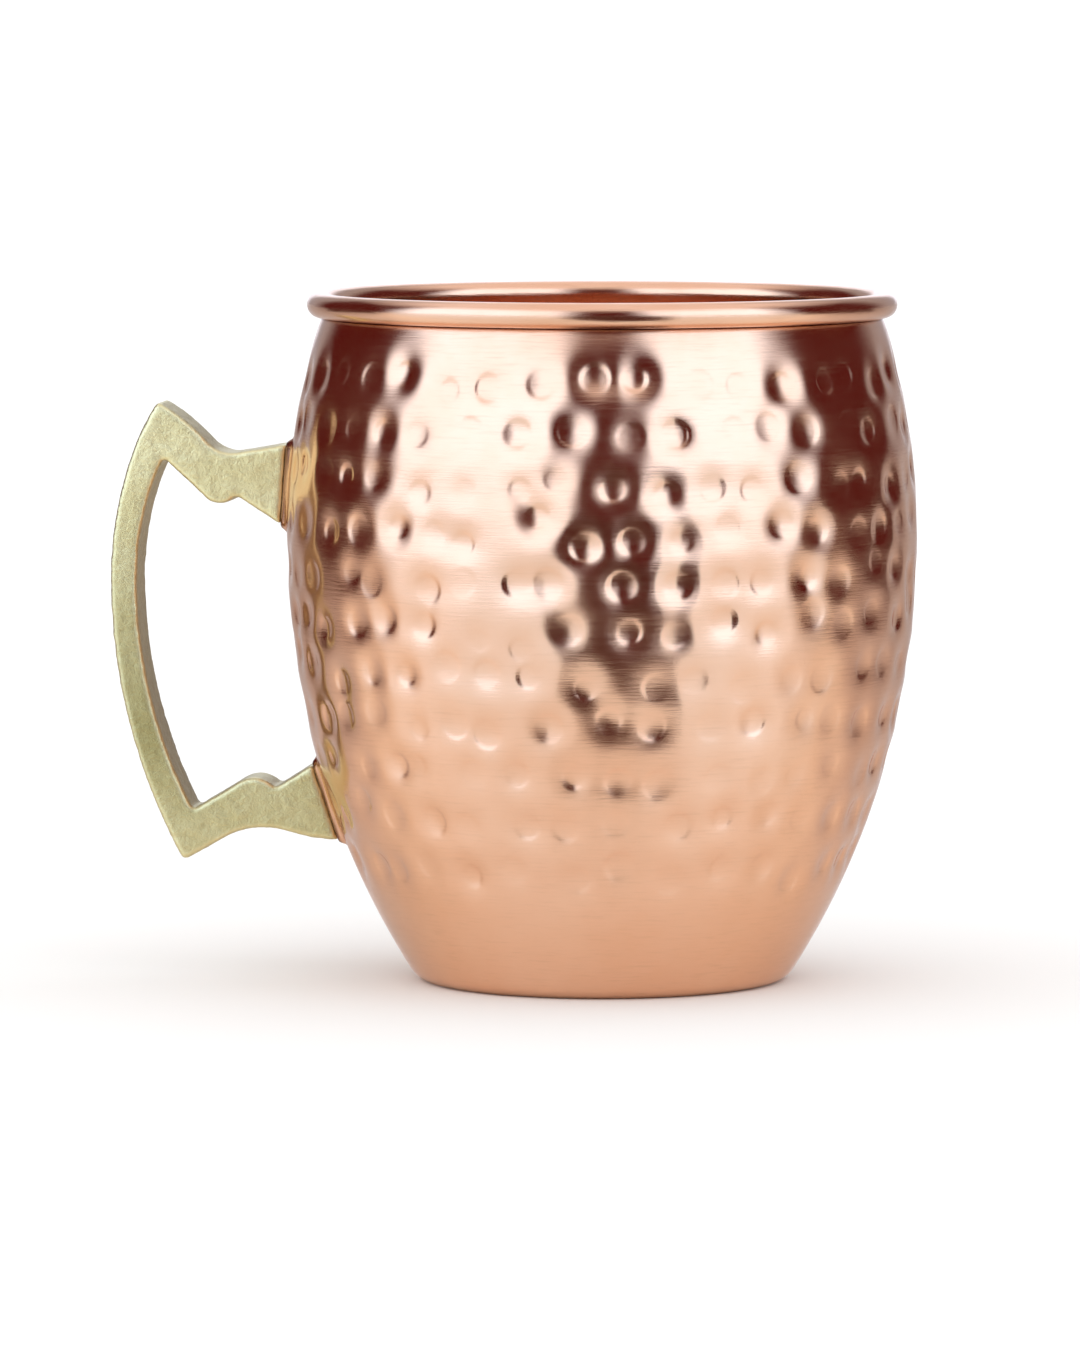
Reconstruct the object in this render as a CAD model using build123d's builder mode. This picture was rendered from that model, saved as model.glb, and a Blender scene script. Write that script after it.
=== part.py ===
from build123d import *
import os
from math import acos, asin, atan2, cos, degrees, radians, sin, sqrt

# Hammered copper mug with a rolled, wired rim and a cast brass handle.
# Millimetres, +Z up. The origin is the centre of the flat base, on the mug's axis,
# and the handle points towards -X.

# --- Barrel: one sheet, spun into two long arcs that meet at the belly ---
overall_height = 99.4
belly_radius = 45.55
belly_drop = 36.1  # from the top of the rim down to the widest point
base_inset = 18.85  # how far the lower arc draws in by the time it reaches the ground
base_corner_radius = 3.5
wall = 0.8

# --- Rim: the sheet's edge is rolled outwards round a wire ---
rim_inset = 3.05  # from the belly in to the outside of the bead
bead_radius = 1.8
shoulder_drop = 13.4  # from the top of the rim down to where the neck arc starts
shoulder_inset = 2.35  # how far the upper arc has drawn in at the shoulder
curl_gap = 0.25  # slit between the sheet's rolled edge and the wall
wire_clearance = 0.05

# --- Seats: flats pressed outwards from the wall, one under each foot of the handle ---
upper_seat_rise = 8.2  # above the belly
lower_seat_height = 25.7  # above the base
seat_proud = 0.6  # how far a flat stands out from the barrel at its middle
seat_margin = 0.45  # flat left showing round the foot
seat_corner_radius = 1.2

# --- Handle: a flat casting whose outline is drawn in the XZ plane ---
handle_thickness = 9.0
foot_length = 11.7
grip_width = 3.85
grip_reach = 25.3  # from the upper seat out to the outer edge of the grip
crown_drop = 14.0  # from the upper seat down to the outermost point of the grip
edge_chamfer = 0.3
corner_radius = 0.6

# --- Fixings: a cheese-head screw and a soft washer inside the mug at each seat ---
screw_radius = 2.0
screw_clearance = 0.05  # in the handle's tapped hole
washer_bore_clearance = 0.1
wall_hole_clearance = 0.2
screw_engagement = 4.6
hole_depth = 5.2
washer_thickness = 0.8
washer_clearance = 0.2  # from the washer's edge to the side of its pocket
head_lip = 0.5  # washer left showing round the screw's head
head_height = 2.6
slot_width = 1.2
slot_depth = 1.1
head_edge = 0.3

# --- Sizes that follow from those above ---
belly_height = overall_height - belly_drop
shoulder_height = overall_height - shoulder_drop
upper_rise = shoulder_height - belly_height
upper_arc_radius = (upper_rise**2 + shoulder_inset**2) / (2 * shoulder_inset)
lower_arc_radius = (belly_height**2 + base_inset**2) / (2 * base_inset)

bead_x = belly_radius - rim_inset - bead_radius
bead_z = overall_height - bead_radius
curl_bore_radius = bead_radius - wall
wire_radius = curl_bore_radius - wire_clearance

seat_half_width = handle_thickness / 2 + seat_margin
seat_half_length = foot_length / 2 + seat_margin
pocket_half_width = seat_half_width - wall
pocket_half_length = seat_half_length - wall
washer_radius = pocket_half_width - washer_clearance
head_radius = washer_radius - head_lip
seat_block_depth = 3 * wall + seat_proud

# Each arc's centre, as (distance from the axis, height), and the angles where arcs meet.
upper_centre = (belly_radius - upper_arc_radius, belly_height)
lower_centre = (belly_radius - lower_arc_radius, belly_height)
shoulder_angle = asin(upper_rise / upper_arc_radius)

corner_reach = lower_arc_radius - base_corner_radius
corner_rise = belly_height - base_corner_radius
corner_x = lower_centre[0] + sqrt(corner_reach**2 - corner_rise**2)
corner_centre = (corner_x, base_corner_radius)
corner_angle = atan2(-corner_rise, corner_x - lower_centre[0])

# The neck arc leaves the upper arc at the shoulder and arrives tangent to the bead.
shoulder_x = belly_radius - shoulder_inset
bead_dx = bead_x - shoulder_x
bead_dz = bead_z - shoulder_height
bead_along = bead_dx * cos(shoulder_angle) + bead_dz * sin(shoulder_angle)
neck_arc_radius = (bead_dx**2 + bead_dz**2 - curl_bore_radius**2) / (
    2 * (curl_bore_radius - bead_along)
)
neck_centre = (
    shoulder_x - neck_arc_radius * cos(shoulder_angle),
    shoulder_height - neck_arc_radius * sin(shoulder_angle),
)
neck_angle = atan2(bead_z - neck_centre[1], bead_x - neck_centre[0])


def arc_from_to(centre, radius, start, end):
    """Draw an arc between two angles, given in radians."""
    return CenterArc(centre, radius, degrees(start), degrees(end - start))


def draw_half_section(inset):
    """Draw the barrel's closed half section, moved in from the outer surface by inset."""
    quarter_turn = radians(90)
    start = (0, inset)
    Line(start, (corner_x, inset))
    arc_from_to(corner_centre, base_corner_radius - inset, -quarter_turn, corner_angle)
    arc_from_to(lower_centre, lower_arc_radius - inset, corner_angle, 0)
    arc_from_to(upper_centre, upper_arc_radius - inset, 0, shoulder_angle)
    neck = arc_from_to(neck_centre, neck_arc_radius - inset, shoulder_angle, neck_angle)
    neck_end = neck @ 1
    inner_reach = neck_arc_radius - wall
    mouth_x = neck_centre[0] + inner_reach * cos(neck_angle)
    mouth_z = neck_centre[1] + inner_reach * sin(neck_angle)
    if inset < wall:
        Line(neck_end, (mouth_x, mouth_z))
    Line((mouth_x, mouth_z), (0, mouth_z))
    Line((0, mouth_z), start)


def seat_plane(height, arc_centre, arc_radius):
    """Plane on a pressed flat: +Z points out of the mug, +Y up along the wall."""
    angle = asin((height - arc_centre[1]) / arc_radius)
    reach = arc_radius + seat_proud
    x = arc_centre[0] + reach * cos(angle)
    z = arc_centre[1] + reach * sin(angle)
    return Plane(origin=(-x, 0, z), x_dir=(0, -1, 0), z_dir=(-cos(angle), 0, sin(angle)))


upper_seat = seat_plane(belly_height + upper_seat_rise, upper_centre, upper_arc_radius)
lower_seat = seat_plane(lower_seat_height, lower_centre, lower_arc_radius)
seats = {"upper": upper_seat, "lower": lower_seat}

# --- Mug body: sheet with its pressed seats, screw holes and rolled edge ---
with BuildPart() as mug_body:
    with BuildSketch(Plane.XZ):
        with BuildLine():
            draw_half_section(0)
        make_face()
    revolve(axis=Axis.Z)

    for seat in seats.values():
        with BuildSketch(seat):
            RectangleRounded(2 * seat_half_width, 2 * seat_half_length, seat_corner_radius)
        extrude(amount=-seat_block_depth)

    with BuildSketch(Plane.XZ):
        with BuildLine():
            draw_half_section(wall)
        make_face()
    revolve(axis=Axis.Z, mode=Mode.SUBTRACT)

    for seat in seats.values():
        with BuildSketch(seat.offset(-wall)):
            RectangleRounded(
                2 * pocket_half_width, 2 * pocket_half_length, seat_corner_radius - wall / 2
            )
        extrude(amount=-seat_block_depth, mode=Mode.SUBTRACT)
        with BuildSketch(seat):
            Circle(screw_radius + wall_hole_clearance)
        extrude(amount=-seat_block_depth, mode=Mode.SUBTRACT)

    # The curl runs over the bead from the neck and stops short of the wall below it.
    curl_start = neck_angle + radians(180)
    curl_end = neck_angle - acos((curl_gap - curl_bore_radius) / bead_radius)
    bead_centre = (bead_x, bead_z)
    with BuildSketch(Plane.XZ):
        with BuildLine():
            inner = arc_from_to(bead_centre, curl_bore_radius, curl_start, curl_end)
            outer = arc_from_to(bead_centre, bead_radius, curl_start, curl_end)
            Line(inner @ 0, outer @ 0)
            Line(inner @ 1, outer @ 1)
        make_face()
    revolve(axis=Axis.Z)

# --- Rim wire: a ring that the edge is rolled round ---
with BuildPart() as rim_wire:
    with BuildSketch(Plane.XZ):
        with Locations(bead_centre):
            Circle(wire_radius)
    revolve(axis=Axis.Z)


def near_upper_seat(out, up):
    """Point on the handle's outline, measured outwards and upwards from the upper seat."""
    return (upper_seat.origin.X - out, upper_seat.origin.Z + up)


def near_lower_seat(out, up):
    """Point on the handle's outline, measured outwards and upwards from the lower seat."""
    return (lower_seat.origin.X - out, lower_seat.origin.Z + up)


def foot_end(seat, along):
    """Point on a seat's line in the XZ plane, measured up along the wall."""
    point = seat.from_local_coords((0, along, 0))
    return (point.X, point.Z)


# --- Handle: two notched legs joined by a bowed grip ---
with BuildPart() as handle:
    apex = near_upper_seat(18.3, 11.9)
    shoulder = near_upper_seat(21.6, 5.65)
    crown = near_upper_seat(grip_reach, -crown_drop)
    tip = near_lower_seat(20.8, -8.7)
    inner_crown = near_upper_seat(grip_reach - grip_width, -crown_drop)
    inner_top = near_upper_seat(17.5, 3.8)
    inner_bottom = near_lower_seat(19.4, -1.2)
    upper_notch = near_upper_seat(6.9, -1.65)
    lower_notch = near_lower_seat(7.4, 2.05)

    with BuildSketch(Plane.XZ) as outline:
        with BuildLine():
            # Top edge of the upper leg, from its foot out to the apex.
            dip_start = near_upper_seat(7.0, 4.55)
            dip_end = near_upper_seat(10.9, 5.95)
            Line(foot_end(upper_seat, foot_length / 2), dip_start)
            ThreePointArc(dip_start, near_upper_seat(9.0, 4.75), dip_end)
            ThreePointArc(dip_end, near_upper_seat(14.4, 9.25), apex)
            # Outer edge of the grip, bowed out to the crown.
            upper_grip = TangentArc(crown, shoulder, tangent=(0, 1))
            TangentArc(shoulder, apex, tangent=upper_grip % 1)
            TangentArc(crown, tip, tangent=(0, -1))
            # Bottom edge of the lower leg, from the tip in to its foot.
            arch_start = near_lower_seat(15.0, -5.4)
            arch_end = near_lower_seat(6.3, -4.1)
            Line(tip, arch_start)
            ThreePointArc(arch_start, near_lower_seat(10.6, -3.85), arch_end)
            lower_foot_bottom = foot_end(lower_seat, -foot_length / 2)
            ThreePointArc(arch_end, near_lower_seat(2.4, -5.05), lower_foot_bottom)
            # Foot, notch and hump of the lower leg.
            lower_foot_top = foot_end(lower_seat, foot_length / 2)
            hump_end = near_lower_seat(13.2, 2.5)
            Line(lower_foot_bottom, lower_foot_top)
            Line(lower_foot_top, lower_notch)
            ThreePointArc(lower_notch, near_lower_seat(9.95, 3.5), hump_end)
            Line(hump_end, inner_bottom)
            # Inner edge of the grip.
            TangentArc(inner_crown, inner_bottom, tangent=(0, -1))
            TangentArc(inner_crown, inner_top, tangent=(0, 1))
            # Underside of the upper leg, with its hump and notch, back to its foot.
            hump_start = near_upper_seat(11.4, -1.95)
            upper_foot_bottom = foot_end(upper_seat, -foot_length / 2)
            Line(inner_top, hump_start)
            ThreePointArc(hump_start, near_upper_seat(9.7, -2.8), upper_notch)
            Line(upper_notch, upper_foot_bottom)
            Line(upper_foot_bottom, foot_end(upper_seat, foot_length / 2))
        make_face()
        sharp_points = (apex, tip, inner_top, inner_bottom, upper_notch, lower_notch)
        for point in sharp_points:
            fillet(outline.vertices().sort_by_distance(point)[0], corner_radius)
    extrude(amount=handle_thickness / 2, both=True)

    side_faces = handle.faces().filter_by(Axis.Y)
    chamfer(side_faces.edges(), edge_chamfer)

    for seat in seats.values():
        with BuildSketch(seat):
            Circle(screw_radius + screw_clearance)
        extrude(amount=hole_depth, mode=Mode.SUBTRACT)


def make_washer(seat):
    """Soft washer that lies on the floor of a seat's pocket, inside the mug."""
    with BuildPart() as washer:
        with BuildSketch(seat.offset(-wall)):
            Circle(washer_radius)
            Circle(screw_radius + washer_bore_clearance, mode=Mode.SUBTRACT)
        extrude(amount=-washer_thickness)
    return washer


def make_screw(seat):
    """Slotted cheese-head screw, put in from inside the mug; its thread is a plain shank."""
    under_head = seat.offset(-wall - washer_thickness)
    with BuildPart() as screw:
        with BuildSketch(under_head):
            Circle(head_radius)
        extrude(amount=-head_height)
        outwards = Axis(seat.origin, seat.z_dir)
        head_rim = screw.edges().filter_by(GeomType.CIRCLE).sort_by(outwards)[0]
        chamfer(head_rim, head_edge)
        with BuildSketch(under_head.offset(-head_height)):
            Rectangle(2 * head_radius, slot_width)
        extrude(amount=slot_depth, mode=Mode.SUBTRACT)
        with BuildSketch(under_head):
            Circle(screw_radius)
        extrude(amount=wall + washer_thickness + screw_engagement)
    return screw


# --- Named pieces, one file each ---
pieces = {"mug_body": mug_body, "rim_wire": rim_wire, "handle": handle}
for name, seat in seats.items():
    pieces[f"{name}_washer"] = make_washer(seat)
    pieces[f"{name}_screw"] = make_screw(seat)

os.makedirs("parts", exist_ok=True)
for name, piece in pieces.items():
    piece.part.label = name
    export_step(piece.part, f"parts/{name}.step")
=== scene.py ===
import math

import bpy
import numpy as np
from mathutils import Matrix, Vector, noise


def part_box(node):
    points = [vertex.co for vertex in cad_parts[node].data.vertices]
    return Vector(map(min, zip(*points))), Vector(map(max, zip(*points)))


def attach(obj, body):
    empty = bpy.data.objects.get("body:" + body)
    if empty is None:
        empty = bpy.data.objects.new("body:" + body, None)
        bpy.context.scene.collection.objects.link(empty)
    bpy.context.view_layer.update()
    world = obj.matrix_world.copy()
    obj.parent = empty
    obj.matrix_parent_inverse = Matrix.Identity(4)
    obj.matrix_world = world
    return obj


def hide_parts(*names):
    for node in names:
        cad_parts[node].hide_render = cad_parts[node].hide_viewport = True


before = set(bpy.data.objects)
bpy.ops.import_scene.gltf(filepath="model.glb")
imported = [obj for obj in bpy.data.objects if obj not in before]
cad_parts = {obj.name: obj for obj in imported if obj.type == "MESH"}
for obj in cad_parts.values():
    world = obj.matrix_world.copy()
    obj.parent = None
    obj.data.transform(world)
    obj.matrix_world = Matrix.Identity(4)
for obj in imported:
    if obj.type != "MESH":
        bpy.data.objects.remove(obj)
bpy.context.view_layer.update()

MM = 0.001

# --- Sizes of the mug, as in the CAD model ---
_, BODY_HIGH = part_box("mug_body")
BELLY_RADIUS = BODY_HIGH.y
HEIGHT = BODY_HIGH.z
BELLY_DROP = 36.1 * MM
BELLY_HEIGHT = HEIGHT - BELLY_DROP
BASE_INSET = 18.85 * MM
BASE_CORNER = 3.5 * MM
WALL = 0.8 * MM
RIM_INSET = 3.05 * MM
BEAD_RADIUS = 1.8 * MM
SHOULDER_DROP = 13.4 * MM
SHOULDER_INSET = 2.35 * MM
CURL_GAP = 0.25 * MM
UPPER_SEAT_RISE = 8.2 * MM
LOWER_SEAT_HEIGHT = 25.7 * MM
SEAT_HEIGHTS = (BELLY_HEIGHT + UPPER_SEAT_RISE, LOWER_SEAT_HEIGHT)
SEAT_PROUD = 0.6 * MM

# --- The flats under the handle's feet, 0.3 mm inside the CAD model's, with a soft shoulder round ---
SEAT_HALF_WIDTH = 4.65 * MM
SEAT_HALF_LENGTH = 6.0 * MM
SEAT_CORNER = 0.9 * MM
SEAT_SHOULDER = 1.0 * MM
SEAT_INNER_INSET = 0.5 * MM
# The greatest distance behind a flat at which the wall still belongs to it
SEAT_REACH = 6 * MM
FAR_OUTSIDE = 1.0

# --- How the copper was hammered ---
TOP_ROW_DROP = 11.4 * MM
TOP_ROW = HEIGHT - TOP_ROW_DROP
BOTTOM_ROW = 12.5 * MM
MARK_ROW_PITCH = 6.9 * MM
MARK_PITCH = 7.3 * MM
ROW_SHIFT = 0.2  # of the pitch, to either side
MARK_STRAY = 0.14  # of the pitch
HEIGHT_STRAY = 0.8 * MM
MARK_RADIUS = 2.25 * MM
MARK_SIZES = (0.8, 1.08)  # of the radius
MARK_WEIGHTS = (0.4, 1.15)  # of the depths
MARK_DEPTH = 0.08 * MM
MARK_SIDE = 0.6 * MM
MARK_LEAN = 0.9
DISH_DEPTH = 0.64 * MM
DISH_SPREAD = 2.7 * MM
DISH_REACH = 3 * DISH_SPREAD
MARK_SEED = 41

# --- How finely the copper is meshed ---
COLUMNS = 900
ROW_STEP = 0.33 * MM
INNER_STEP = 0.9 * MM
BASE_STEP = 3 * MM
CURL_STEP = 0.3 * MM
CURL_INNER_STEP = 0.6 * MM

# --- Painted shade: a dark line round the seats and under the bead, where shade falls in the crevices ---
CREVICE_WIDTH = 0.3 * MM
CREVICE_FADE = 0.2 * MM
NECK_CREVICE = 0.4 * MM


def arc_rows(centre, radius, start, end, step):
    """Points and outward normals along an arc in the half section, without its last point."""
    count = max(2, round(abs(end - start) * radius / step))
    angles = np.linspace(start, end, count + 1)[:-1]
    normals = np.stack([np.cos(angles), np.sin(angles)], 1)
    return np.asarray(centre) + radius * normals, normals


class HalfSection:
    """The arcs of the barrel's half section, worked out as the CAD model does."""

    def __init__(self):
        rise = HEIGHT - SHOULDER_DROP - BELLY_HEIGHT
        self.upper_radius = (rise**2 + SHOULDER_INSET**2) / (2 * SHOULDER_INSET)
        self.lower_radius = (BELLY_HEIGHT**2 + BASE_INSET**2) / (2 * BASE_INSET)
        self.upper_centre = np.array([BELLY_RADIUS - self.upper_radius, BELLY_HEIGHT])
        self.lower_centre = np.array([BELLY_RADIUS - self.lower_radius, BELLY_HEIGHT])
        self.shoulder_angle = math.asin(rise / self.upper_radius)

        reach = self.lower_radius - BASE_CORNER
        drop = BELLY_HEIGHT - BASE_CORNER
        self.corner_x = self.lower_centre[0] + math.sqrt(reach**2 - drop**2)
        self.corner_centre = np.array([self.corner_x, BASE_CORNER])
        self.corner_angle = math.atan2(-drop, self.corner_x - self.lower_centre[0])

        bead_x = BELLY_RADIUS - RIM_INSET - BEAD_RADIUS
        self.bead_centre = np.array([bead_x, HEIGHT - BEAD_RADIUS])
        self.bore = BEAD_RADIUS - WALL
        along = np.array([math.cos(self.shoulder_angle), math.sin(self.shoulder_angle)])
        shoulder = self.upper_centre + self.upper_radius * along
        span = self.bead_centre - shoulder
        self.neck_radius = (span @ span - self.bore**2) / (2 * (self.bore - span @ along))
        self.neck_centre = shoulder - self.neck_radius * along
        to_bead = self.bead_centre - self.neck_centre
        self.neck_angle = math.atan2(to_bead[1], to_bead[0])

    def wall_rows(self, inset, step):
        """Rows from the base's edge up to the neck's end, on the surface at this inset."""
        pieces = [
            arc_rows(self.corner_centre, BASE_CORNER - inset, -math.pi / 2, self.corner_angle, step),
            arc_rows(self.lower_centre, self.lower_radius - inset, self.corner_angle, 0, step),
            arc_rows(self.upper_centre, self.upper_radius - inset, 0, self.shoulder_angle, step),
            arc_rows(
                self.neck_centre, self.neck_radius - inset, self.shoulder_angle, self.neck_angle, step
            ),
        ]
        return np.concatenate([p for p, _ in pieces]), np.concatenate([n for _, n in pieces])

    def radius_at(self, height):
        """The barrel's radius at a height, near enough for placing the marks."""
        bend = self.upper_radius if height > BELLY_HEIGHT else self.lower_radius
        return BELLY_RADIUS - (height - BELLY_HEIGHT) ** 2 / (2 * bend)

    def curl_rows(self):
        """Rows over the curl's inside to its cut edge and back over its outside."""
        start = self.neck_angle + math.pi
        end = self.neck_angle - math.acos((CURL_GAP - self.bore) / BEAD_RADIUS)
        inside, _ = arc_rows(self.bead_centre, self.bore, start, end, CURL_INNER_STEP)
        outside, _ = arc_rows(self.bead_centre, BEAD_RADIUS, end, start, CURL_STEP)
        last = self.bead_centre + self.bore * np.array([math.cos(end), math.sin(end)])
        points = np.concatenate([inside, [last], outside])
        return points, np.zeros_like(points)


def smooth(t):
    """Smooth step from 0 to 1."""
    t = np.clip(t, 0, 1)
    return t * t * (3 - 2 * t)


class Seat:
    """A flat pressed out of the wall for one foot of the handle."""

    def __init__(self, section, height):
        upper = height > BELLY_HEIGHT
        centre = section.upper_centre if upper else section.lower_centre
        radius = section.upper_radius if upper else section.lower_radius
        angle = math.asin((height - centre[1]) / radius)
        r = centre[0] + (radius + SEAT_PROUD) * math.cos(angle)
        z = centre[1] + (radius + SEAT_PROUD) * math.sin(angle)
        self.origin = np.array([-r, 0, z])
        self.out = np.array([-math.cos(angle), 0, math.sin(angle)])
        self.across = np.array([0, 1.0, 0])
        self.up = np.array([math.sin(angle), 0, math.cos(angle)])

    def outline_distance(self, points, shrink):
        """Distance outside the seat's rounded outline, negative inside it; the far wall is outside."""
        local = points - self.origin
        u = np.abs(local @ self.across) - (SEAT_HALF_WIDTH - shrink - SEAT_CORNER)
        v = np.abs(local @ self.up) - (SEAT_HALF_LENGTH - shrink - SEAT_CORNER)
        outside = np.hypot(np.maximum(u, 0), np.maximum(v, 0))
        distance = outside + np.minimum(np.maximum(u, v), 0) - SEAT_CORNER
        near = local @ self.out > -SEAT_REACH
        return np.where(near, distance, FAR_OUTSIDE)

    def press(self, points, depth):
        """Bring points inside the outline onto the flat, depth below the seat's face."""
        shrink = depth / WALL * SEAT_INNER_INSET
        share = 1 - smooth(self.outline_distance(points, shrink) / SEAT_SHOULDER)
        height = (points - self.origin) @ self.out
        return points + np.outer(share * (-depth - height), self.out)


def hammer_marks(section, seats):
    """Each mark's place round the barrel and up it, its radius, its weight and which way it leans."""
    random = np.random.default_rng(MARK_SEED)
    marks = []
    rows = 1 + int((TOP_ROW - BOTTOM_ROW) / MARK_ROW_PITCH)
    for row in range(rows):
        height = TOP_ROW - row * MARK_ROW_PITCH
        radius = section.radius_at(height)
        count = round(2 * math.pi * radius / MARK_PITCH)
        start = 0.5 * (row % 2) + random.uniform(-ROW_SHIFT, ROW_SHIFT)
        for i in range(count):
            angle = 2 * math.pi * (i + start + random.normal(0, MARK_STRAY)) / count
            z = height + random.normal(0, HEIGHT_STRAY)
            size = MARK_RADIUS * random.uniform(*MARK_SIZES)
            weight = random.uniform(*MARK_WEIGHTS)
            lean = random.uniform(0, 2 * math.pi)
            point = np.array([[radius * math.cos(angle), radius * math.sin(angle), z]])
            clear = min(seat.outline_distance(point, 0)[0] for seat in seats)
            if clear > size + SEAT_SHOULDER / 2:
                marks.append((angle, z, size, weight, lean))
    return marks


def dent_depths(section, marks, angles, heights):
    """How far each grid point is hammered in: a wide dish with a leaning, flat-bottomed mark in it."""
    depths = np.zeros((len(heights), len(angles)))
    for angle, z, size, weight, lean in marks:
        radius = section.radius_at(z)
        turn = (angles - angle + math.pi) % (2 * math.pi) - math.pi
        rows = np.nonzero(np.abs(heights - z) < DISH_REACH)[0]
        columns = np.nonzero(np.abs(turn) * radius < DISH_REACH)[0]
        across = turn[columns][None, :] * radius
        up = (heights[rows] - z)[:, None]
        distance = np.hypot(across, up)
        dish = DISH_DEPTH * np.exp(-((distance / DISH_SPREAD) ** 2))
        tilt = 1 + MARK_LEAN * (across * math.cos(lean) + up * math.sin(lean)) / size
        mark = MARK_DEPTH * tilt * (1 - smooth((distance - size + MARK_SIDE) / MARK_SIDE))
        depths[np.ix_(rows, columns)] += weight * (dish + mark)
    return depths


def swept_grid(points, normals, angles, depths):
    """Turn half-section rows round the axis, moved in along their normals by depths."""
    depths = np.broadcast_to(depths, (len(points), len(angles)))
    r = points[:, :1] - normals[:, :1] * depths
    z = points[:, 1:] - normals[:, 1:] * depths
    return np.stack([r * np.cos(angles), r * np.sin(angles), z], -1)


def grid_faces(rows, columns):
    """Quads between neighbouring rows of a grid that closes round the axis."""
    i = np.arange(rows - 1)[:, None] * columns
    j = np.arange(columns)[None, :]
    k = (j + 1) % columns
    quads = np.stack([i + j, i + k, i + columns + k, i + columns + j], -1)
    return quads.reshape(-1, 4)


def make_mesh(name, vertices, quads, ends):
    """Smooth mesh object from arrays of vertices and quads, and one ring of vertices for each end."""
    mesh = bpy.data.meshes.new(name)
    mesh.vertices.add(len(vertices))
    mesh.vertices.foreach_set("co", np.asarray(vertices, np.float32).ravel())
    corners = np.concatenate([np.asarray(quads).ravel(), *ends]).astype(np.int32)
    sizes = np.array([4] * len(quads) + [len(end) for end in ends])
    starts = np.concatenate([[0], np.cumsum(sizes)[:-1]]).astype(np.int32)
    mesh.loops.add(len(corners))
    mesh.loops.foreach_set("vertex_index", corners)
    mesh.polygons.add(len(sizes))
    mesh.polygons.foreach_set("loop_start", starts)
    mesh.polygons.foreach_set("use_smooth", np.ones(len(sizes), bool))
    mesh.update(calc_edges=True)
    obj = bpy.data.objects.new(name, mesh)
    bpy.context.scene.collection.objects.link(obj)
    return obj


def base_rows(edge_x, z, step):
    """Rows of the flat base, from near the axis out to its edge, without the edge."""
    count = max(2, round(edge_x / step))
    radii = np.linspace(0, edge_x, count + 1)[1:-1]
    points = np.stack([radii, np.full_like(radii, z)], 1)
    return points, np.zeros_like(points)


def hammered_body():
    """The mug's sheet as one closed mesh: hammered barrel, pressed seats and rolled edge."""
    section = HalfSection()
    seats = [Seat(section, height) for height in SEAT_HEIGHTS]
    marks = hammer_marks(section, seats)
    angles = np.linspace(0, 2 * math.pi, COLUMNS, endpoint=False)

    walls = []
    for inset, step in ((0, ROW_STEP), (WALL, INNER_STEP)):
        points, normals = section.wall_rows(inset, step)
        grid = swept_grid(points, normals, angles, dent_depths(section, marks, angles, points[:, 1]))
        flat = grid.reshape(-1, 3)
        for seat in seats:
            flat = seat.press(flat, inset)
        walls.append(flat.reshape(grid.shape))
    outside, inside = walls

    curl = swept_grid(*section.curl_rows(), angles, 0)
    under = swept_grid(*base_rows(section.corner_x, 0, BASE_STEP), angles, 0)
    floor = swept_grid(*base_rows(section.corner_x, WALL, BASE_STEP), angles, 0)
    grid = np.concatenate([under, outside, curl, inside[::-1], floor[::-1]])
    ring = np.arange(COLUMNS)
    ends = [ring[::-1], ring + (len(grid) - 1) * COLUMNS]
    points = grid.reshape(-1, 3)
    body = make_mesh("hammered_body", points, grid_faces(len(grid), COLUMNS), ends)

    before_curl = (len(under) + len(outside)) * COLUMNS
    outer = np.arange(len(points)) < before_curl
    # Painted shade round the seats and under the bead, kept for the copper material to darken by
    add_attribute(body, "painted_crevice_shade", crevice_shade(section, seats, points, outer))
    bead = np.zeros(len(body.data.polygons), np.int32)
    bead[before_curl : before_curl + len(curl) * COLUMNS] = 1
    body.data.polygons.foreach_set("material_index", bead)
    return body


def crevice_shade(section, seats, points, outer):
    """Painted shade at each point, from 0 to 1: a dark line round the seats and under the bead, where
    shade falls in the crevices.
    """
    near_seat = np.min([seat.outline_distance(points, 0) for seat in seats], 0)
    shade = 1 - smooth((np.abs(near_seat - CREVICE_WIDTH / 2) - CREVICE_WIDTH / 2) / CREVICE_FADE)
    high = points[:, 2] > HEIGHT - 2 * BEAD_RADIUS - NECK_CREVICE
    close = np.hypot(points[:, 0], points[:, 1]) < section.bead_centre[0] + BEAD_RADIUS / 2
    return np.maximum(shade, high & close & outer)


def add_attribute(obj, name, values):
    """Store one number for each vertex, for a material to read."""
    attribute = obj.data.attributes.new(name, "FLOAT", "POINT")
    attribute.data.foreach_set("value", np.asarray(values, np.float32))


# --- The cast handle ---

CAST_VOXEL = 0.32 * MM
ROUNDING_STEPS = 7
WORN_STEPS = 3
WORN_DEPTH = 0.06 * MM
LUMP_SIZE = 1.4 * MM
LUMP_HEIGHT = 0.06 * MM
SWELL_SIZE = 2.7 * LUMP_SIZE
SWELL_HEIGHT = 0.03 * MM
SAND_SIZE = 0.55 * MM
SAND_HEIGHT = 0.035 * MM


def neighbour_means(values, edges, degree):
    """Mean of each vertex's neighbours."""
    total = np.zeros_like(values)
    np.add.at(total, edges[:, 0], values[edges[:, 1]])
    np.add.at(total, edges[:, 1], values[edges[:, 0]])
    return total / degree[:, None]


def read_rows(items, field, width, kind=np.float32):
    """One row of numbers for each vertex or edge."""
    rows = np.empty(len(items) * width, kind)
    items.foreach_get(field, rows)
    return rows.reshape(-1, width)


def move_vertices(mesh, points):
    """Put every vertex of a mesh in its new place."""
    mesh.vertices.foreach_set("co", points.astype(np.float32).ravel())
    mesh.update()


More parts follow.
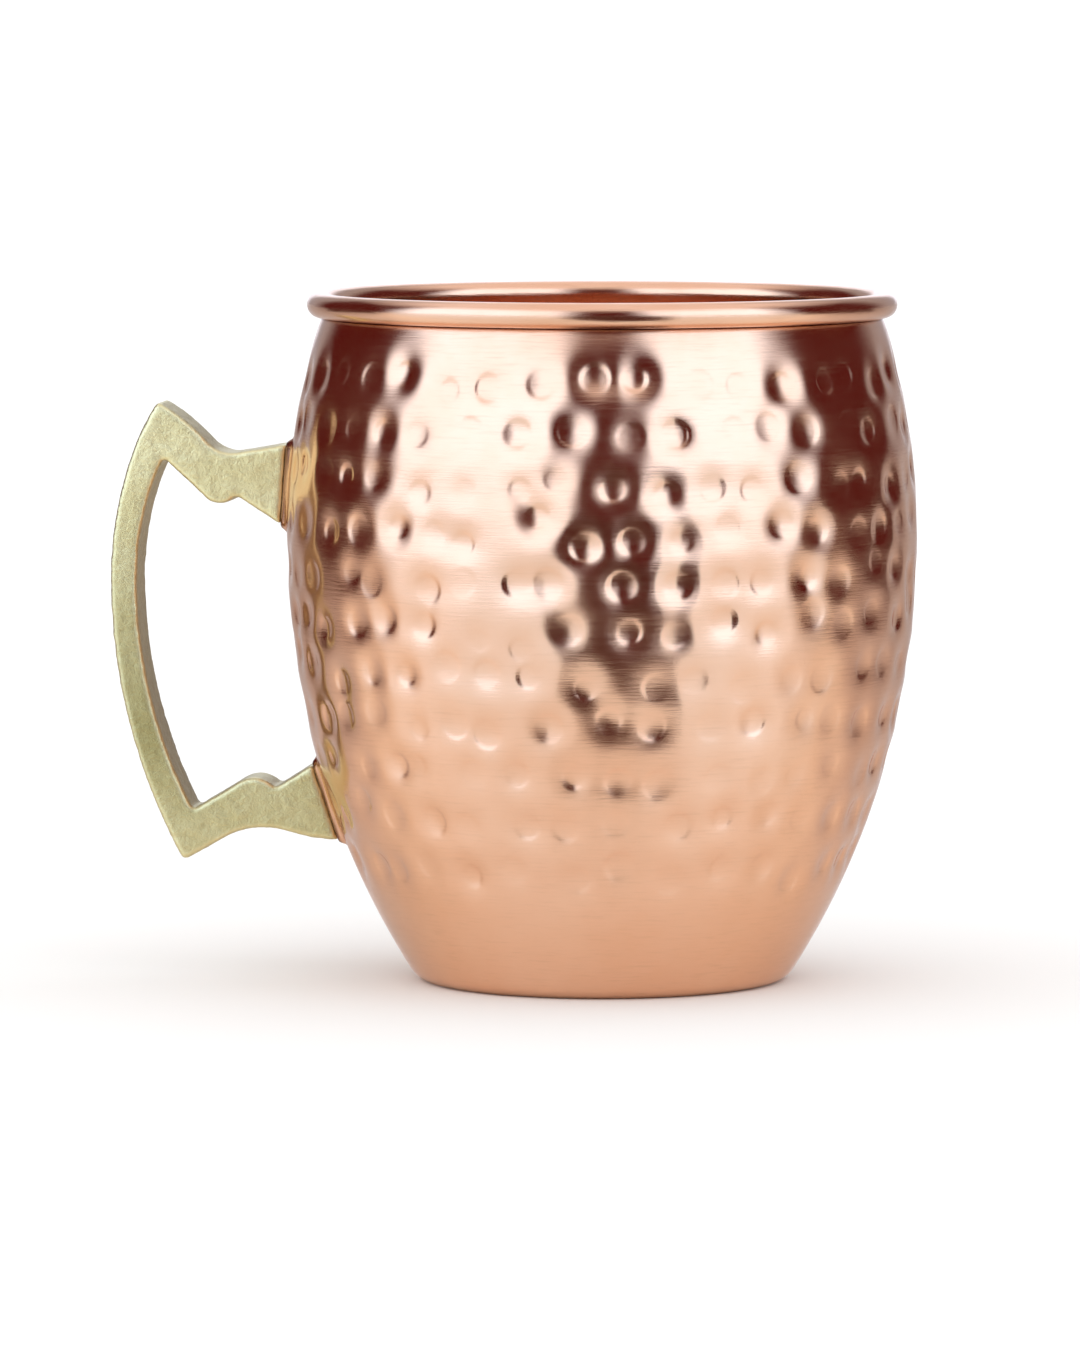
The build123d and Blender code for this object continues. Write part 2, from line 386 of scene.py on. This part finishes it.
def remeshed_copy(source, name):
    """A copy of a CAD node in small, even faces."""
    copy = bpy.data.objects.new(name, source.data.copy())
    bpy.context.scene.collection.objects.link(copy)
    remesh = copy.modifiers.new("remesh", "REMESH")
    remesh.mode = "VOXEL"
    remesh.voxel_size = CAST_VOXEL
    graph = bpy.context.evaluated_depsgraph_get()
    mesh = bpy.data.meshes.new_from_object(copy.evaluated_get(graph))
    copy.modifiers.clear()
    copy.data = mesh
    return copy


def cast_lift(point):
    """How far the casting's skin stands out at a point."""
    lumps = LUMP_HEIGHT * noise.noise(point / LUMP_SIZE) + SWELL_HEIGHT * noise.noise(point / SWELL_SIZE)
    return lumps + SAND_HEIGHT * noise.noise(point / SAND_SIZE)


def cast_handle():
    """The handle with the rounded edges and the lumpy skin of a sand casting."""
    handle = remeshed_copy(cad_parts["handle"], "cast_handle")
    mesh = handle.data
    sharp = read_rows(mesh.vertices, "co", 3).astype(float)
    edges = read_rows(mesh.edges, "vertices", 2, np.int32)
    degree = np.bincount(edges.ravel(), minlength=len(sharp))
    rounded = sharp
    for _ in range(ROUNDING_STEPS):
        rounded = (rounded + neighbour_means(rounded, edges, degree)) / 2
    move_vertices(mesh, rounded)
    normals = read_rows(mesh.vertices, "normal", 3)

    worn = np.einsum("ij,ij->i", sharp - rounded, normals)
    for _ in range(WORN_STEPS):
        worn = neighbour_means(worn[:, None], edges, degree)[:, 0]
    lift = np.array([cast_lift(Vector(point)) for point in rounded])
    mesh.polygons.foreach_set("use_smooth", np.ones(len(mesh.polygons), bool))
    move_vertices(mesh, rounded + normals * lift[:, None])
    add_attribute(handle, "worn", np.clip(worn / WORN_DEPTH, -1, 1))
    return handle


# --- Materials ---

# How fast the lines change with distance from the origin, as a share of the change across them
LINE_DEPTH_SHARE = 0.1


class Nodes:
    """Short way to build a node tree."""

    def __init__(self, tree):
        self.tree = tree

    def add(self, kind, inputs=None, **settings):
        """New node with these inputs and settings."""
        node = self.tree.nodes.new(kind)
        for key, value in settings.items():
            setattr(node, key, value)
        for key, value in (inputs or {}).items():
            self.put(node.inputs[key], value)
        return node

    def put(self, socket, value):
        """Link an output, or set a plain value."""
        if isinstance(value, bpy.types.NodeSocket):
            self.tree.links.new(value, socket)
        else:
            socket.default_value = value

    def place(self):
        """Position on the object, in metres."""
        return self.add("ShaderNodeTexCoord").outputs["Object"]

    def noise(self, scale, detail=2.0, roughness=0.5, warp=0.0):
        """Noise through the object, its scale in features per metre."""
        inputs = {"Vector": self.place(), "Scale": scale, "Detail": detail, "Roughness": roughness}
        inputs["Distortion"] = warp
        return self.add("ShaderNodeTexNoise", inputs).outputs["Fac"]

    def between(self, value, low, high, to_low, to_high):
        """Value carried from one range to another and kept inside it."""
        inputs = {
            "Value": value, "From Min": low, "From Max": high, "To Min": to_low, "To Max": to_high
        }
        return self.add("ShaderNodeMapRange", inputs).outputs["Result"]

    def math(self, operation, first, second):
        """One step of arithmetic on two numbers."""
        return self.add("ShaderNodeMath", {0: first, 1: second}, operation=operation).outputs[0]

    def mix(self, factor, first, second):
        """Colour between the first and the second."""
        inputs = {0: factor, 6: first, 7: second}
        return self.add("ShaderNodeMix", inputs, data_type="RGBA").outputs[2]

    def value_of(self, attribute):
        """Number stored for each vertex under this name."""
        return self.add("ShaderNodeAttribute", attribute_name=attribute).outputs["Fac"]

    def round_barrel(self, across, along):
        """Noise drawn out round the mug's axis: features per metre across the lines and along."""
        parts = self.add("ShaderNodeSeparateXYZ", {0: self.place()})
        turn = self.math("ARCTAN2", parts.outputs["Y"], parts.outputs["X"])
        u = self.math("MULTIPLY", turn, BELLY_RADIUS * along)
        v = self.math("MULTIPLY", parts.outputs["Z"], across)
        r = self.add("ShaderNodeVectorMath", {0: self.place()}, operation="LENGTH").outputs["Value"]
        w = self.math("MULTIPLY", r, LINE_DEPTH_SHARE * across)
        vector = self.add("ShaderNodeCombineXYZ", {0: u, 1: v, 2: w}).outputs[0]
        inputs = {"Vector": vector, "Scale": 1.0, "Detail": 3.0, "Roughness": 0.6}
        return self.add("ShaderNodeTexNoise", inputs).outputs["Fac"]

    def bump(self, height, distance, normal=None):
        """Normal of a relief, which may lie on another relief."""
        inputs = {"Height": height, "Distance": distance, "Strength": 1.0}
        if normal is not None:
            inputs["Normal"] = normal
        return self.add("ShaderNodeBump", inputs).outputs["Normal"]


class Surface(Nodes):
    """A material and its shader."""

    def __init__(self, name, metallic=0.0):
        self.material = bpy.data.materials.new(name)
        self.material.use_nodes = True
        super().__init__(self.material.node_tree)
        self.shader = self.tree.nodes["Principled BSDF"]
        self.shader.inputs["Metallic"].default_value = metallic

    def finish(self, colour, roughness, normal):
        """Connect the shader's main inputs and give back the material."""
        self.put(self.shader.inputs["Base Color"], colour)
        self.put(self.shader.inputs["Roughness"], roughness)
        self.put(self.shader.inputs["Normal"], normal)
        return self.material


COPPER_LIGHT = (0.87, 0.53, 0.365, 1)
COPPER_WARM = (0.85, 0.485, 0.315, 1)
# The darkest copper tone serves both the darker brushing lines and the painted shade in the crevices
COPPER_STREAK_AND_SHADE = (0.16, 0.055, 0.03, 1)

# Lines round the barrel: features per metre across the lines and along them
BRUSH_LINES = (3200, 190)
FINE_LINES = (7000, 320)
RUBBING_LINES = (2600, 50)
BRUSH_HEIGHT = 0.018 * MM
FINE_HEIGHT = 0.008 * MM
RUBBING_HEIGHT = 0.006 * MM
BRUSH_STRETCH = 0.75
QUARTER_TURN = 0.25


def brushed_copper():
    """Hammered copper, brushed round the barrel in fine lines, with painted shade darkening it round the
    seats and under the bead.
    """
    n = Surface("brushed_copper", metallic=1.0)
    patches = n.noise(45, 4.0, 0.6)
    colour = n.mix(n.between(patches, 0.35, 0.65, 0, 1), COPPER_LIGHT, COPPER_WARM)
    lines = n.round_barrel(*BRUSH_LINES)
    fine = n.round_barrel(*FINE_LINES)
    colour = n.mix(n.between(lines, 0.55, 0.75, 0, 0.08), colour, COPPER_STREAK_AND_SHADE)
    # Painted shade: the copper is darkened round the seats and under the bead, where shade falls in the
    # crevices
    painted_shade_share = n.math("MULTIPLY", n.value_of("painted_crevice_shade"), 0.92)
    colour = n.mix(painted_shade_share, colour, COPPER_STREAK_AND_SHADE)
    worn = n.between(n.noise(90, 3.0), 0.4, 0.62, -0.02, 0.03)
    roughness = n.math("ADD", n.between(lines, 0.3, 0.7, 0.17, 0.23), worn)
    normal = n.bump(fine, FINE_HEIGHT, n.bump(lines, BRUSH_HEIGHT))
    n.shader.inputs["Anisotropic"].default_value = BRUSH_STRETCH
    n.shader.inputs["Anisotropic Rotation"].default_value = QUARTER_TURN
    tangent = n.add("ShaderNodeTangent", direction_type="RADIAL", axis="Z")
    n.put(n.shader.inputs["Tangent"], tangent.outputs["Tangent"])
    return n.finish(colour, roughness, normal)


def polished_copper():
    """The rolled rim, polished smooth, with faint rubbing marks along it."""
    n = Surface("polished_copper", metallic=1.0)
    patches = n.noise(120, 3.0)
    colour = n.mix(n.between(patches, 0.35, 0.65, 0, 1), COPPER_LIGHT, COPPER_WARM)
    lines = n.round_barrel(*RUBBING_LINES)
    roughness = n.between(lines, 0.3, 0.7, 0.2, 0.3)
    return n.finish(colour, roughness, n.bump(lines, RUBBING_HEIGHT))


BRASS_PALE = (0.90, 0.775, 0.44, 1)
BRASS_DEEP = (0.82, 0.68, 0.345, 1)
# Colour of the painted shade round the grip and low down on the handle
BRASS_GRIP_SHADE = (0.36, 0.295, 0.115, 1)
# Colour of the painted shade on the handle's sides
BRASS_SIDE_SHADE = (0.55, 0.49, 0.30, 1)
BRASS_DARK = (0.25, 0.20, 0.08, 1)
BRASS_BRIGHT = (0.90, 0.82, 0.50, 1)
# Where the painted shade lies: round the grip's middle, and below a height, fading out higher up
GRIP_MIDDLE = (-67 * MM, 0, 37 * MM)
GRIP_CORE = 4 * MM
GRIP_REACH = 37 * MM
SHADE_BELOW = 35 * MM
UNSHADED_ABOVE = 60 * MM
PIT_HEIGHT = 0.10 * MM
GRAIN_HEIGHT = 0.03 * MM


def cast_brass():
    """Pale brass: faces rubbed, sides painted darker and greyer as shade, painted shade round the grip
    and low down, edges worn bright.
    """
    n = Surface("cast_brass", metallic=1.0)
    patches = n.noise(120, 4.0, 0.6)
    sand = n.noise(3600, 3.0, 0.6)
    skin = n.noise(1500, 4.0, 0.6, 0.9)
    colour = n.mix(n.between(patches, 0.35, 0.65, 0, 1), BRASS_PALE, BRASS_DEEP)
    # Painted shade: darker round the middle of the grip and towards the bottom, standing in for the
    # darker light reflected there
    away = n.add(
        "ShaderNodeVectorMath", {0: n.place(), 1: GRIP_MIDDLE}, operation="DISTANCE"
    ).outputs["Value"]
    grip_shade = n.between(away, GRIP_CORE, GRIP_REACH, 0.8, 0)
    height = n.add("ShaderNodeSeparateXYZ", {0: n.place()}).outputs["Z"]
    shade_share = n.math("MAXIMUM", grip_shade, n.between(height, SHADE_BELOW, UNSHADED_ABOVE, 0.42, 0))
    shade_share = n.math("MULTIPLY", shade_share, n.between(patches, 0.3, 0.7, 0.9, 1.1))
    colour = n.mix(shade_share, colour, BRASS_GRIP_SHADE)
    # The two rubbed faces look along Y, and every other surface is a side
    facing = n.add("ShaderNodeSeparateXYZ", {0: n.add("ShaderNodeTexCoord").outputs["Normal"]})
    sideways = n.math("ABSOLUTE", facing.outputs["Y"], 0.0)
    # Painted shade: every side is painted darker and greyer than the faces, standing in for the darker
    # light it reflects
    colour = n.mix(n.between(sideways, 0.45, 0.8, 0.85, 0), colour, BRASS_SIDE_SHADE)
    colour = n.mix(n.between(skin, 0.30, 0.50, 0.2, 0), colour, BRASS_DARK)
    colour = n.mix(n.between(sand, 0.3, 0.6, 0.14, 0), colour, BRASS_DARK)
    edge = n.between(n.value_of("worn"), 0.35, 1.0, 0, 0.5)
    colour = n.mix(edge, colour, BRASS_BRIGHT)
    rubbed = n.math("MULTIPLY", edge, 0.1)
    roughness = n.math("SUBTRACT", n.between(sand, 0.3, 0.7, 0.40, 0.50), rubbed)
    normal = n.bump(sand, GRAIN_HEIGHT, n.bump(skin, PIT_HEIGHT))
    return n.finish(colour, roughness, normal)


SCREW_DEEP = (0.72, 0.52, 0.22, 1)
SCREW_PALE = (0.82, 0.62, 0.30, 1)
RINGS_PER_METRE = 900.0
RING_HEIGHT = 0.006 * MM
HANDLING_HEIGHT = 0.01 * MM


def turned_brass():
    """Lathe-turned brass of the screws, with fine turning rings and handling marks."""
    n = Surface("turned_brass", metallic=1.0)
    rings = n.add("ShaderNodeTexWave", {"Vector": n.place(), "Scale": RINGS_PER_METRE, "Distortion": 2.0})
    marks = n.noise(700, 3.0)
    colour = n.mix(marks, SCREW_DEEP, SCREW_PALE)
    normal = n.bump(rings.outputs["Fac"], RING_HEIGHT, n.bump(marks, HANDLING_HEIGHT))
    return n.finish(colour, n.between(marks, 0.3, 0.7, 0.2, 0.36), normal)


WASHER_DEEP = (0.26, 0.09, 0.05, 1)
WASHER_PALE = (0.42, 0.17, 0.09, 1)
WASHER_STAIN = (0.12, 0.05, 0.03, 1)
WASHER_GRAIN = 0.03 * MM


def soft_washer():
    """Matt copper-coloured sealing washer."""
    n = Surface("soft_washer")
    grain = n.noise(1400, 3.0)
    patches = n.noise(300, 2.0)
    colour = n.mix(grain, WASHER_DEEP, WASHER_PALE)
    colour = n.mix(n.between(patches, 0.5, 0.7, 0, 0.4), colour, WASHER_STAIN)
    return n.finish(colour, n.between(grain, 0.3, 0.7, 0.55, 0.8), n.bump(grain, WASHER_GRAIN))


def set_materials(obj, *materials):
    """Give an object these materials and no others."""
    obj.data.materials.clear()
    for material in materials:
        obj.data.materials.append(material)


# --- The stage: floor, world and camera ---

CAMERA_AZIMUTH = math.radians(5.8)
CAMERA_DISTANCE = 1.2
CAMERA_HEIGHT = 146 * MM
AIM_HEIGHT = 50 * MM
CAMERA_LENS = 222.2
CAMERA_SHIFT = (-0.0461, -0.0307)
FLOOR_HALF_SIZE = 12.0
STAGE_GRAIN = 0.02 * MM
CARD_HEIGHT = 1 * MM
FLOOR_WHITE = (0.97, 0.97, 0.97, 1)
TO_CAMERA = Vector((math.sin(CAMERA_AZIMUTH), -math.cos(CAMERA_AZIMUTH), 0))

# Colour of the floor as the metal shows it, by metres before (+) or behind (-) the mug's axis
FLOOR_LIGHT = [
    (-0.40, (0.45, 0.41, 0.39, 1)),
    (-0.20, (0.52, 0.47, 0.45, 1)),
    (-0.06, (0.65, 0.61, 0.59, 1)),
    (-0.02, (0.76, 0.71, 0.67, 1)),
    (0.02, (0.95, 0.92, 0.84, 1)),
    (0.05, (0.93, 0.95, 0.93, 1)),
    (0.11, (0.84, 0.87, 0.86, 1)),
    (0.30, (0.78, 0.86, 0.89, 1)),
]


def flat_mesh(name, corners, material):
    """One flat staged sheet."""
    mesh = bpy.data.meshes.new(name)
    mesh.from_pydata(corners, [], [range(len(corners))])
    sheet = bpy.data.objects.new(name, mesh)
    bpy.context.scene.collection.objects.link(sheet)
    set_materials(sheet, material)
    return sheet


def set_stops(ramp, stops):
    """Give a colour ramp these positions and colours."""
    while len(ramp.elements) < len(stops):
        ramp.elements.new(0.5)
    for element, (position, colour) in zip(ramp.elements, stops):
        element.position = position
        element.color = colour


def make_floor():
    """Pale matt floor, which the metal shows slightly glossy and with less light behind the mug."""
    n = Surface("pale_floor")
    depth = n.add(
        "ShaderNodeVectorMath", {0: n.place(), 1: TO_CAMERA}, operation="DOT_PRODUCT"
    ).outputs["Value"]
    low, high = FLOOR_LIGHT[0][0], FLOOR_LIGHT[-1][0]
    light = n.add("ShaderNodeValToRGB", {"Fac": n.between(depth, low, high, 0, 1)})
    set_stops(
        light.color_ramp,
        [((place - low) / (high - low), colour) for place, colour in FLOOR_LIGHT],
    )
    grain = n.noise(40, 3.0)
    roughness = n.between(grain, 0.3, 0.7, 0.3, 0.36)
    n.finish(light.outputs["Color"], roughness, n.bump(grain, STAGE_GRAIN))
    matt = n.add("ShaderNodeBsdfDiffuse", {"Color": FLOOR_WHITE})
    straight = n.add("ShaderNodeLightPath").outputs["Is Camera Ray"]
    shown = n.add(
        "ShaderNodeMixShader", {0: straight, 1: n.shader.outputs[0], 2: matt.outputs[0]}
    )
    n.put(n.tree.nodes["Material Output"].inputs["Surface"], shown.outputs[0])
    s = FLOOR_HALF_SIZE
    flat_mesh("floor", [(-s, -s, 0), (s, -s, 0), (s, s, 0), (-s, s, 0)], n.material)


# Corners of the black cards: degrees to the right of the camera, and metres from the mug's axis
FLAGS = {
    "front_flag": [(5, 0.122), (-13, 0.2), (-13, 6), (26, 6), (25, 0.16)],
    "left_flag": [(-97, 0.6), (-134, 0.6), (-134, 6), (-97, 6)],
    "right_flag": [(84, 0.54), (130, 0.54), (130, 6), (84, 6)],
}
CARD_DEEP = (0.05, 0.01, 0.005, 1)
CARD_PALE = (0.07, 0.015, 0.01, 1)


def make_flags():
    """Black cards lying round the mug, which only the metal's reflections show."""
    n = Surface("black_card")
    grain = n.noise(200)
    material = n.finish(n.mix(grain, CARD_DEEP, CARD_PALE), 0.9, n.bump(grain, STAGE_GRAIN))
    n.shader.inputs["Specular IOR Level"].default_value = 0.0
    for name, places in FLAGS.items():
        corners = []
        for degrees, distance in places:
            turn = CAMERA_AZIMUTH + math.radians(degrees)
            corners.append((distance * math.sin(turn), -distance * math.cos(turn), CARD_HEIGHT))
        flag = flat_mesh(name, corners, material)
        flag.visible_camera = False
        flag.visible_diffuse = False
        flag.visible_shadow = False


# Light round the studio as metal shows it, by degrees to the right of the camera
BACK = (1.2, 1.3, 1.5, 1)
BESIDE_BACK = (0.38, 0.37, 0.40, 1)
DARK = (0.085, 0.002, 0.0, 1)
BRIGHT = (1.5, 1.9, 2.45, 1)
OVERHEAD = (1.0, 1.0, 1.05, 1)
PANELS = [
    (-180, BACK), (-172, BACK), (-164, BESIDE_BACK), (-152, BESIDE_BACK), (-140, DARK), (-95, DARK),
    (-79, BRIGHT), (-19, BRIGHT), (-8, DARK), (11, DARK), (22, BRIGHT), (68, BRIGHT),
    (84, DARK), (130, DARK), (146, BESIDE_BACK), (164, BESIDE_BACK), (172, BACK),
]
# Degrees above the horizon over which the panels give way to the light overhead
OVERHEAD_FROM = 34
OVERHEAD_FULL = 56
# Strength of the white light that falls on everything
DIFFUSE_LEVEL = 1.15


def make_world():
    """Even white light, in which polished metal shows bright panels with dark gaps between them."""
    world = bpy.data.worlds.new("studio")
    bpy.context.scene.world = world
    world.use_nodes = True
    n = Nodes(world.node_tree)
    n.tree.nodes.clear()

    direction = n.add("ShaderNodeTexCoord").outputs["Generated"]
    turned = n.add(
        "ShaderNodeVectorRotate", {"Vector": direction, "Angle": -CAMERA_AZIMUTH}, rotation_type="Z_AXIS"
    )
    parts = n.add("ShaderNodeSeparateXYZ", {0: turned.outputs[0]})
    back = n.math("MULTIPLY", parts.outputs["Y"], -1)
    azimuth = n.math("ARCTAN2", parts.outputs["X"], back)
    panels = n.add(
        "ShaderNodeValToRGB", {"Fac": n.between(azimuth, -math.pi, math.pi, 0, 1)}
    )
    set_stops(panels.color_ramp, [((degrees + 180) / 360, colour) for degrees, colour in PANELS])
    low, high = (math.sin(math.radians(a)) for a in (OVERHEAD_FROM, OVERHEAD_FULL))
    colour = n.mix(n.between(parts.outputs["Z"], low, high, 0, 1), panels.outputs["Color"], OVERHEAD)
    shown = n.add("ShaderNodeBackground", {"Color": colour, "Strength": 1.0})
    plain = n.add("ShaderNodeBackground", {"Color": (1, 1, 1, 1), "Strength": DIFFUSE_LEVEL})
    glossy = n.add("ShaderNodeLightPath").outputs["Is Glossy Ray"]
    choose = n.add("ShaderNodeMixShader", {0: glossy, 1: plain.outputs[0], 2: shown.outputs[0]})
    n.add("ShaderNodeOutputWorld", {"Surface": choose.outputs[0]})


def make_camera():
    """Camera a little above the rim, turned round from the handle's plane."""
    data = bpy.data.cameras.new("camera")
    camera = bpy.data.objects.new("camera", data)
    bpy.context.scene.collection.objects.link(camera)
    camera.location = TO_CAMERA * CAMERA_DISTANCE + Vector((0, 0, CAMERA_HEIGHT))
    aim = Vector((0, 0, AIM_HEIGHT)) - camera.location
    camera.rotation_euler = aim.to_track_quat("-Z", "Y").to_euler()
    data.lens = CAMERA_LENS
    data.shift_x, data.shift_y = CAMERA_SHIFT
    bpy.context.scene.camera = camera


# --- Build ---

bead_copper = polished_copper()
body = hammered_body()
set_materials(body, brushed_copper(), bead_copper)
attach(body, "root")
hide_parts("mug_body")

handle = cast_handle()
set_materials(handle, cast_brass())
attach(handle, "root")
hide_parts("handle")

screw_brass = turned_brass()
washer_skin = soft_washer()
for place in ("upper", "lower"):
    set_materials(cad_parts[f"{place}_screw"], screw_brass)
    set_materials(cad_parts[f"{place}_washer"], washer_skin)
set_materials(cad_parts["rim_wire"], bead_copper)

make_floor()
make_flags()
make_world()
make_camera()
bpy.context.scene.view_settings.view_transform = "Standard"
